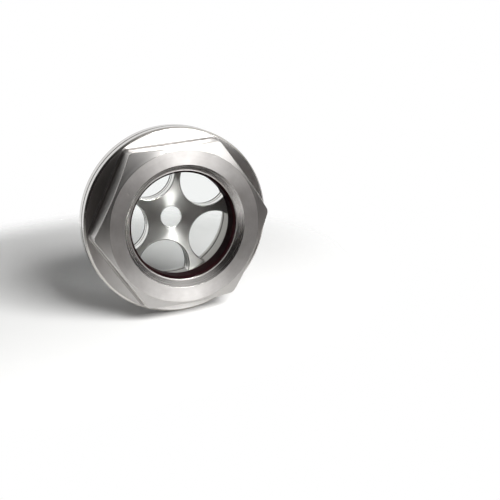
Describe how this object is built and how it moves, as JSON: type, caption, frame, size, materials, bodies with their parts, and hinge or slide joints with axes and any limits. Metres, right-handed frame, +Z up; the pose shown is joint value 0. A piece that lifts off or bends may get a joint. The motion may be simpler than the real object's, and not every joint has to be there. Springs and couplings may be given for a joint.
{
  "type": "oil sight glass",
  "caption": "Stainless oil sight glass: hexagon head with round flange and pipe thread, round glass on a rubber ring, and a star-shaped reflector behind it, to show the oil level through a wall.",
  "frame": {"origin": "centre of the flange's rear sealing face, on the thread's axis", "axes": "+Y along the axis from the window to the thread's free end, +Z up, two hexagon flats level"},
  "size_m": [0.0494, 0.0245, 0.0494],
  "materials": {
    "body_steel": "fine-turned stainless steel with concentric tool marks on the front face",
    "seal_rubber": "smooth dark red-brown fluorocarbon rubber",
    "clear_glass": "clear toughened glass, polished faces, ground edge",
    "reflector_steel": "turned and drilled stainless steel, bright edges"
  },
  "bodies": {
    "root": {"body": "body_steel", "front_seal": "seal_rubber", "sight_glass": "clear_glass", "reflector": "reflector_steel"}
  },
  "joints": []
}
